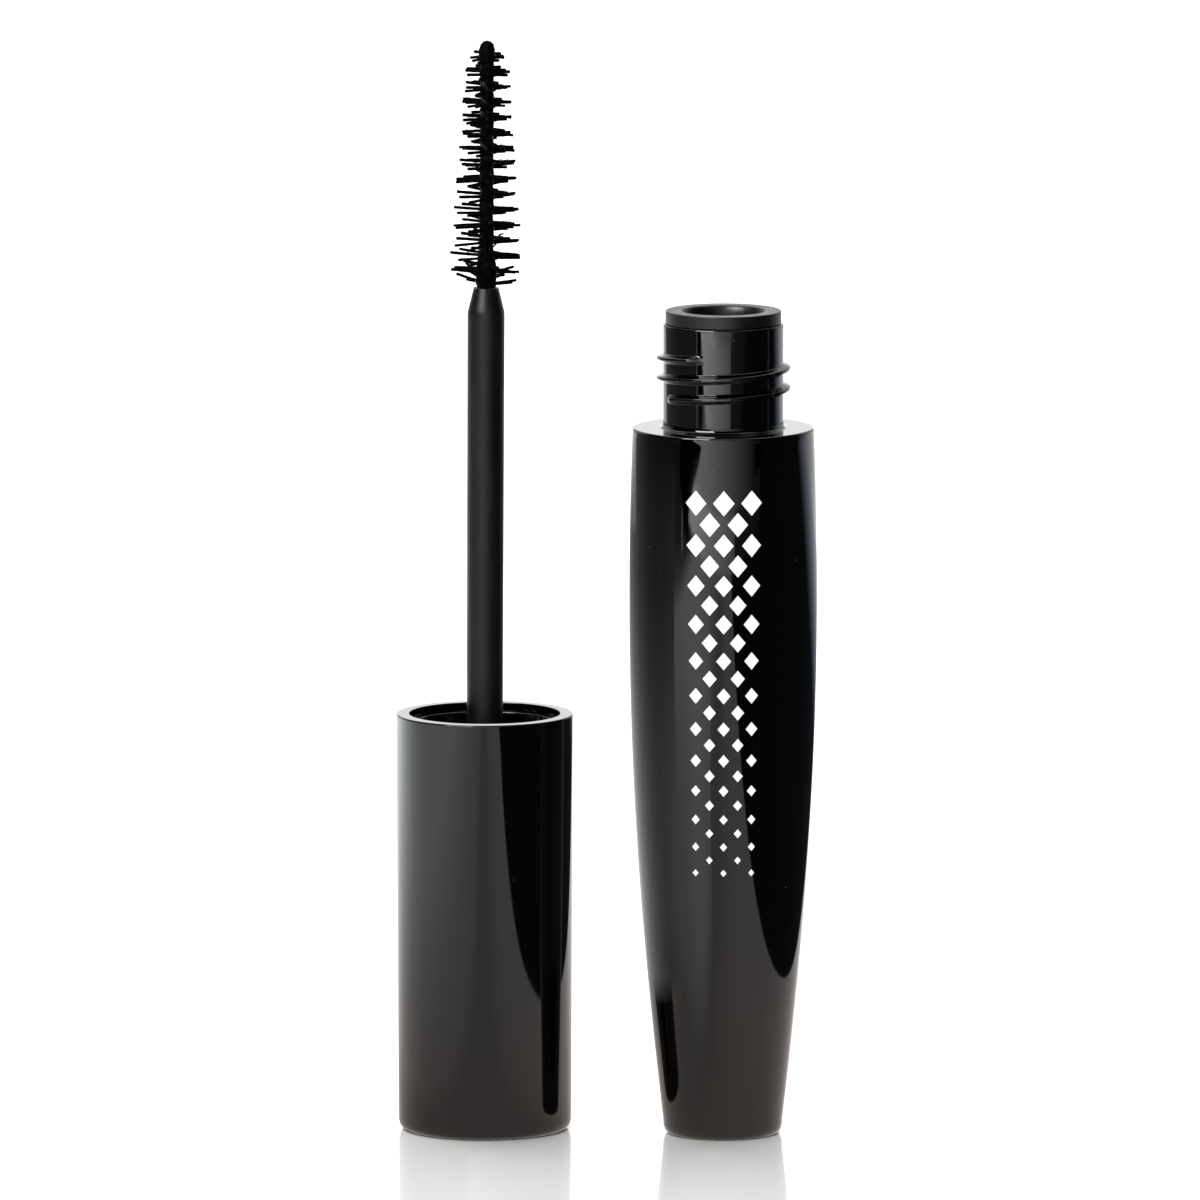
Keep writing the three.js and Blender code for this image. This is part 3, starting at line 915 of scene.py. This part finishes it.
def add_lozenge(shape, across, height, half_width, half_height):
    """A thin diamond of ink that follows the barrel."""
    steps = 6
    layers = []
    for lift in (INK_UNDER, INK_OVER):
        rows = []
        for i in range(steps + 1):
            up = lerp(-half_height, half_height, i / steps)
            half = half_width * (1 - abs(up) / half_height)
            if half < 1e-6:
                rows.append(shape.add([tuple(on_barrel(across, height + up, lift))]))
                continue
            row = [
                tuple(on_barrel(across + lerp(-half, half, j / 4), height + up, lift))
                for j in range(5)
            ]
            rows.append(shape.add(row))
        layers.append(rows)
    close_patch(shape, layers)


def close_patch(shape, layers):
    """Faces over the top and bottom layer of a patch, and round its edge."""
    for layer, outwards in zip(layers, (False, True)):
        for lower, upper in zip(layer, layer[1:]):
            for face in strip_faces(lower, upper):
                shape.faces.append(face if outwards else tuple(reversed(face)))
    bottom, top = (edge_loop(rows) for rows in layers)
    count = len(bottom)
    for i in range(count):
        j = (i + 1) % count
        shape.faces.append((bottom[i], bottom[j], top[j], top[i]))


def strip_faces(lower, upper):
    """Faces between two rows of a patch, where either may be a single point."""
    if len(lower) == 1:
        return [(lower[0], upper[j + 1], upper[j]) for j in range(len(upper) - 1)]
    if len(upper) == 1:
        return [(lower[j], lower[j + 1], upper[0]) for j in range(len(lower) - 1)]
    return [
        (lower[j], lower[j + 1], upper[j + 1], upper[j]) for j in range(len(lower) - 1)
    ]


def edge_loop(rows):
    """The points round the edge of a patch, in order."""
    right = [row[-1] for row in rows[1:-1]]
    left = [row[0] for row in rows[1:-1]]
    first = list(rows[0])
    last = list(reversed(rows[-1]))
    return [*first, *right, *last, *reversed(left)]


def make_print():
    """A plain lattice of lozenges that grow smaller towards the base."""
    shape = Shape()
    height = PRINT_TOP
    row = 0
    while height > PRINT_BOTTOM:
        share = (height - PRINT_BOTTOM) / (PRINT_TOP - PRINT_BOTTOM)
        size = lerp(LOZENGE_SMALL, LOZENGE_LARGE, share)
        columns = 3 if row % 2 == 0 else 2
        for column in range(columns):
            across = (column - (columns - 1) / 2) * COLUMN_SPACING
            add_lozenge(shape, across, height, size * 0.85, size)
        height -= 1.0 + size * 0.95
        row += 1
    place(shape.piece("barrel_print", VIAL_AXIS, PRINT, 30), "bottle", "print")


# --- Studio ---


def flat_mesh(name, corners, material):
    """One flat face of the studio, which isn't part of the object."""
    mesh = bpy.data.meshes.new(name)
    mesh.from_pydata([tuple(Vector(c) * MM) for c in corners], [], [tuple(range(len(corners)))])
    mesh.materials.append(material)
    flat = bpy.data.objects.new(name, mesh)
    bpy.context.scene.collection.objects.link(flat)
    return flat


def make_floor():
    floor = Material("floor_white", (0.93, 0.93, 0.92), 0.03)
    side = STUDIO_SIDE
    corners = [(-side, -side, 0), (side, -side, 0), (side, side, 0), (-side, side, 0)]
    flat_mesh("floor", corners, floor.material)


def combine(tree, operation, first, second):
    """Two values put together by a Math node, or the second alone where there is no first."""
    if first is None:
        return second
    node = tree.nodes.new("ShaderNodeMath")
    node.operation = operation
    tree.links.new(first, node.inputs[0])
    tree.links.new(second, node.inputs[1])
    return node.outputs["Value"]


def piecewise(tree, source, stops, unit=MM):
    """A value that follows straight lines between (place, value) stops, and is flat beyond."""
    total = None
    for (low, low_value), (high, high_value) in zip(stops, stops[1:]):
        so_far = low_value if total else 0
        step = tree.nodes.new("ShaderNodeMapRange")
        step.inputs["From Min"].default_value = low * unit
        step.inputs["From Max"].default_value = high * unit
        step.inputs["To Min"].default_value = low_value - so_far
        step.inputs["To Max"].default_value = high_value - so_far
        tree.links.new(source, step.inputs["Value"])
        total = combine(tree, "ADD", total, step.outputs["Result"])
    return total


def mix_shaders(tree, share, first, second):
    """The first shader where share is 0, and the second where it is 1."""
    mix = tree.nodes.new("ShaderNodeMixShader")
    tree.links.new(share, mix.inputs["Fac"])
    tree.links.new(first, mix.inputs[1])
    tree.links.new(second, mix.inputs[2])
    return mix.outputs["Shader"]


def tint_with_distance(tree, place, near, far):
    """One colour close to the object, which turns into another further out."""
    away = tree.nodes.new("ShaderNodeVectorMath")
    away.operation = "DISTANCE"
    away.inputs[1].default_value = Vector(BETWEEN) * MM
    share = tree.nodes.new("ShaderNodeMapRange")
    share.interpolation_type = "SMOOTHSTEP"
    share.inputs["From Min"].default_value = WARM_WITHIN * MM
    share.inputs["From Max"].default_value = NEUTRAL_BEYOND * MM
    mix = tree.nodes.new("ShaderNodeMix")
    mix.data_type = "RGBA"
    ends = [socket for socket in mix.inputs if socket.type == "RGBA"]
    ends[0].default_value = (*near, 1)
    ends[1].default_value = (*far, 1)
    tree.links.new(place, away.inputs[0])
    tree.links.new(away.outputs["Value"], share.inputs["Value"])
    tree.links.new(share.outputs["Result"], mix.inputs["Factor"])
    return [socket for socket in mix.outputs if socket.type == "RGBA"][0]


def card_material(name, profiles, colour, near_colour, fade):
    """Light that changes along X, Y or Z. Its back is clear, and fade tells how clear its
    front is at each height."""
    material = bpy.data.materials.new(name)
    material.use_nodes = True
    tree = material.node_tree
    tree.nodes.clear()
    place_node = tree.nodes.new("ShaderNodeTexCoord")
    parts = tree.nodes.new("ShaderNodeSeparateXYZ")
    tree.links.new(place_node.outputs["Object"], parts.inputs["Vector"])
    strength = None
    for along, stops in profiles.items():
        strength = combine(tree, "MULTIPLY", strength, piecewise(tree, parts.outputs[along], stops))
    light = tree.nodes.new("ShaderNodeEmission")
    light.inputs["Color"].default_value = (*colour, 1)
    if near_colour:
        tint = tint_with_distance(tree, place_node.outputs["Object"], near_colour, colour)
        tree.links.new(tint, light.inputs["Color"])
    tree.links.new(strength, light.inputs["Strength"])
    clear = tree.nodes.new("ShaderNodeBsdfTransparent")
    see_through = tree.nodes.new("ShaderNodeNewGeometry").outputs["Backfacing"]
    if fade:
        see_through = combine(tree, "MAXIMUM", see_through, piecewise(tree, parts.outputs["Z"], fade))
    both = mix_shaders(tree, see_through, light.outputs["Emission"], clear.outputs["BSDF"])
    output = tree.nodes.new("ShaderNodeOutputMaterial")
    tree.links.new(both, output.inputs["Surface"])
    material.cycles.emission_sampling = "NONE"
    return material


def make_card(name, corners, profiles, colour=(1, 1, 1), near_colour=None, fade=None):
    """A card that only glossy surfaces see."""
    material = card_material(name, profiles, colour, near_colour, fade)
    card = flat_mesh(name, corners, material)
    card.visible_camera = False
    card.visible_diffuse = False
    card.visible_shadow = False
    card.visible_transmission = False
    card.visible_volume_scatter = False


def level(points, lift):
    """Corners of a card that lies just over the floor."""
    return [(x, y, lift) for x, y in points]


def standing(points, y):
    """Corners of a card that stands across the view."""
    return [(x, y, z) for x, z in points]


def steady(strength):
    """The profile of a card that is equally bright all over."""
    return {"X": [(0, strength), (1, strength)]}


def make_floor_cards():
    """What the lower walls mirror: a white sheet, brighter to the left, with dark beyond it.
    Each lies a little over the one before."""
    far = STUDIO_SIDE
    sheet_light = [
        (-400, 0.2), (-335, 1.55), (-225, 1.6), (-135, 1.15), (-65, 0.9),
        (-45, 0.66), (-12, 0.66), (0, 0.8), (30, 0.92), (100, 0.95),
    ]
    make_card(
        "card_sheet", level([(-400, -500), (100, -500), (100, 450), (-400, 450)], 0.1),
        {"X": sheet_light, "Y": [(40, 1.0), (200, 1.5), (450, 1.6)]},
        (0.97, 1.0, 1.02), (1.07, 0.96, 0.9),
    )
    dark = [(560, -far), (far, -far), (far, 450), (62, 450), (63, 100), (80, -500), (560, -500)]
    make_card(
        "card_dark_right", level(dark, 0.3),
        {"Y": [(250, 0.03), (450, 0.95)]}, (0.8, 0.9, 1.1),
    )
    make_card(
        "card_dark_left", level([(-far, -far), (-400, -far), (-400, far), (-far, far)], 0.2),
        {"X": [(-far, 0.05), (-900, 0.07), (-400, 0.22)]},
    )
    gap = [(-4449, -far), (-400, -far), (-400, -415), (-525, -425), (-600, -480), (-700, -475)]
    make_card("card_gap", level(gap, 0.4), steady(0))
    sliver = [(-445, -340), (-575, -440), (-567, -449), (-437, -349)]
    make_card("card_sliver", level(sliver, 0.5), steady(1.6))


def make_front_cards():
    """A soft light low in front, fading to the right, cut off on the left."""
    y = -500
    low_light = [
        (-485, 5.0), (-363, 4.2), (-223, 3.2), (-106, 2.4), (0, 1.8), (118, 1.05),
        (122, 0.13), (500, 0.1), (560, 0),
    ]
    low = [(-490, 0), (-375, 22), (560, 22), (560, 0)]
    make_card("card_front_low", standing(low, y), {"X": low_light, "Z": [(12, 0.93), (22, 1.25)]})
    high_light = [
        (-400, 2.7), (-320, 2.6), (-192, 2.2), (-66, 1.6), (53, 1.0), (182, 0.6),
        (337, 0.2), (450, 0),
    ]
    high = [(-375, 22), (-290, 36), (-240, 50), (-240, 260), (560, 260), (560, 22)]
    make_card("card_front_high", standing(high, y), {"X": high_light})


def make_high_cards():
    """The soft light overhead, and a smaller one high on the left, in the rounded edges."""
    top = [(-800, -300, 1000), (-800, 900, 1000), (600, 900, 1000), (600, -300, 1000)]
    make_card("card_top", top, steady(1.6))
    high = [(-460, -240, 640), (-170, -480, 640), (-200, -560, 300), (-500, -330, 300)]
    make_card("card_high_left", high, steady(16.0))


def make_between_cards():
    """Upright cards beside the vial, edge on to the camera, whose light is a painted reflection in
    the vial's left wall: they keep most of the cap out of it, down to where the cap shows at its
    foot."""
    x = -13.1
    back_up = [(14, 0.85), (24, 1.1), (35, 1.0), (44, 0.8), (52, 0.55), (60, 0.35), (76, 0.25)]
    back_fade = [(12.5, 1), (15.5, 0), (64, 0), (76, 1)]
    back = [(x, -12.5, 10), (x, 16, 10), (x, 16, 76), (x, -12.5, 76)]
    back_light = [(-12.5, 0.95), (-9.2, 0.7), (-6.9, 0.56), (-4.5, 0.6), (-1.9, 0.78), (1.6, 0.97)]
    make_card("card_between_back", back, {"Y": back_light, "Z": back_up}, fade=back_fade)
    front_fade = [(1, 1), (13, 0), (44, 0), (64, 1)]
    front = [(x, -50, 1), (x, -12.5, 1), (x, -12.5, 64), (x, -50, 64)]
    front_light = [(-50, 1.1), (-29, 1.4), (-21, 1.35), (-16, 1.1), (-12.5, 0.95)]
    front_up = [(2, 0.7), (14, 0.85), (24, 1.0), (35, 1.05), (60, 1.4)]
    make_card("card_between_front", front, {"Y": front_light, "Z": front_up}, fade=front_fade)


def background(tree, strength):
    node = tree.nodes.new("ShaderNodeBackground")
    node.inputs["Color"].default_value = (1, 1, 1, 1)
    node.inputs["Strength"].default_value = strength
    return node


def make_world():
    """White to the camera. Glossy surfaces see a bright wall behind and dark elsewhere."""
    world = bpy.data.worlds.new("studio")
    bpy.context.scene.world = world
    world.use_nodes = True
    tree = world.node_tree
    tree.nodes.clear()
    direction = tree.nodes.new("ShaderNodeTexCoord")
    parts = tree.nodes.new("ShaderNodeSeparateXYZ")
    tree.links.new(direction.outputs["Generated"], parts.inputs["Vector"])
    wall_light = [(0.3, 0.01), (0.45, 0.22), (0.66, 0.75), (0.95, 0.9), (0.98, 1.6)]
    wall = background(tree, 1)
    tree.links.new(piecewise(tree, parts.outputs["Y"], wall_light, 1), wall.inputs["Strength"])
    fill = background(tree, 0.35).outputs["Background"]
    white = background(tree, 1).outputs["Background"]
    ray = tree.nodes.new("ShaderNodeLightPath")
    unseen = mix_shaders(tree, ray.outputs["Is Glossy Ray"], fill, wall.outputs["Background"])
    seen = mix_shaders(tree, ray.outputs["Is Camera Ray"], unseen, white)
    output = tree.nodes.new("ShaderNodeOutputWorld")
    tree.links.new(seen, output.inputs["Surface"])
    world.cycles.sampling_method = "NONE"


def make_light(name, place, aim, size, power):
    """A square lamp that lights the floor and the print, and that no gloss mirrors."""
    light = bpy.data.lights.new(name, "AREA")
    light.shape = "SQUARE"
    light.size = size * MM
    light.energy = power
    lamp = bpy.data.objects.new(name, light)
    lamp.location = Vector(place) * MM
    direction = (Vector(aim) - Vector(place)).normalized()
    lamp.rotation_euler = direction.to_track_quat("-Z", "Y").to_euler()
    lamp.visible_glossy = False
    lamp.visible_camera = False
    bpy.context.scene.collection.objects.link(lamp)


def make_lights():
    make_light("light_above", (-200, 500, 1150), (-100, 0, 0), 1400, 21.5)
    make_light("light_front", (-300, -1500, 1100), (0, 0, 50), 700, 22)


def make_camera():
    """A long lens in front, looking eight degrees down."""
    data = bpy.data.cameras.new("camera")
    data.sensor_width = 36
    data.lens = 569.5
    data.clip_start = 0.05
    data.clip_end = 20
    camera = bpy.data.objects.new("camera", data)
    camera.location = Vector((-13.1, -2000, 337)) * MM
    camera.rotation_euler = (math.pi / 2 - TIPPED_DOWN, 0, 0)
    bpy.context.scene.collection.objects.link(camera)
    bpy.context.scene.camera = camera


# --- Assembly ---

make_vial()
make_wiper()
make_fill()
make_print()
make_cap()
make_liner()
make_seal()
make_rod()
make_wire()
make_bristles()
make_brush_paste()
make_floor()
make_floor_cards()
make_front_cards()
make_high_cards()
make_between_cards()
make_world()
make_lights()
make_camera()
bpy.context.scene.view_settings.view_transform = "Standard"
